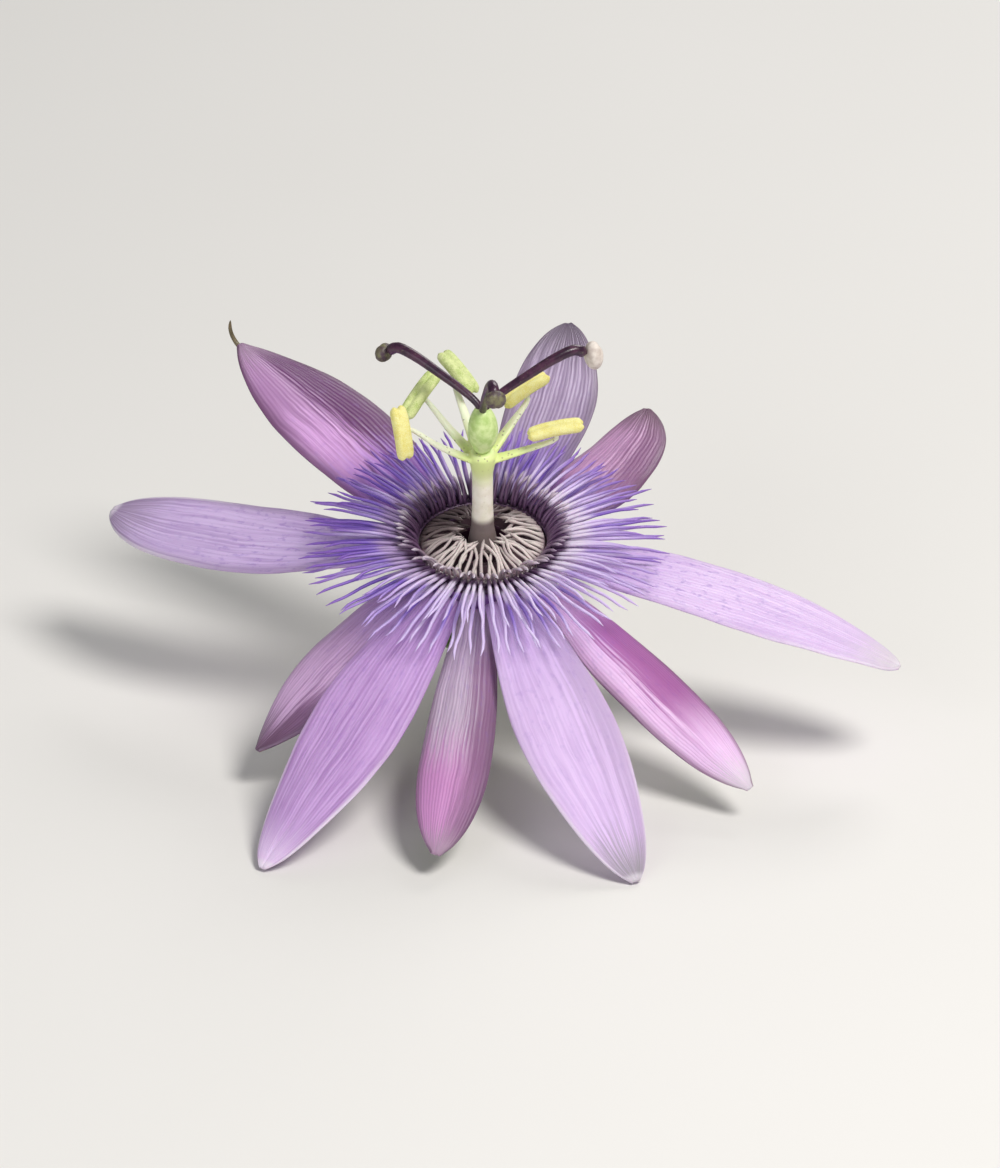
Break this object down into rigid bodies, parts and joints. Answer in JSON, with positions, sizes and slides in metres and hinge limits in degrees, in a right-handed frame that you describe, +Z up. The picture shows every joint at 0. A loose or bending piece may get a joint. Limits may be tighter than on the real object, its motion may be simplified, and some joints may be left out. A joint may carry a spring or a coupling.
{
  "type": "passion flower",
  "caption": "Passion flower picked with its stalk and laid face up: lilac petals, pink-tipped sepals, a ring of banded rays, a cream fringe, and stamens and styles on a column.",
  "frame": {"origin": "middle of the bounding box's base, on the surface that the flower rests on", "axes": "+Z up from the surface; the flower's face leans 11 degrees from +Z towards -Y; the stalk runs back towards +Y; +X to the right as the flower is seen from -Y"},
  "size_m": [0.1098, 0.1064, 0.0586],
  "materials": {
    "petal": "satin, lilac with fine lengthwise veins",
    "sepal": "satin, lilac above with magenta edges, green behind",
    "ray": "satin, banded dark purple, white and violet",
    "palisade": "satin, purple-black",
    "fringe": "satin, cream",
    "limen": "satin, dark purple",
    "calyx": "satin, pale yellow-green",
    "stalk": "satin, green",
    "bract": "satin, green with raised veins",
    "column": "satin, cream to yellow-green",
    "anther": "matte, pollen yellow",
    "ovary": "satin, green",
    "style": "satin, dark purple",
    "stigma": "satin, pale green and purple"
  },
  "bodies": {
    "root": {"calyx_cup": "calyx", "stalk": "stalk", "bract_1": "bract", "bract_2": "bract", "bract_3": "bract", "sepal_1": "sepal", "sepal_2": "sepal", "sepal_3": "sepal", "sepal_4": "sepal", "sepal_5": "sepal", "petal_1": "petal", "petal_2": "petal", "petal_3": "petal", "petal_4": "petal", "petal_5": "petal", "corona_outer_rays": "ray", "corona_second_rays": "ray", "corona_palisade": "palisade", "operculum_fringe": "fringe", "limen": "limen", "androgynophore": "column", "anther_1": "anther", "anther_2": "anther", "anther_3": "anther", "anther_4": "anther", "anther_5": "anther", "ovary": "ovary", "style_1": "style", "style_2": "style", "style_3": "style", "stigma_1": "stigma", "stigma_2": "stigma", "stigma_3": "stigma"}
  },
  "joints": []
}
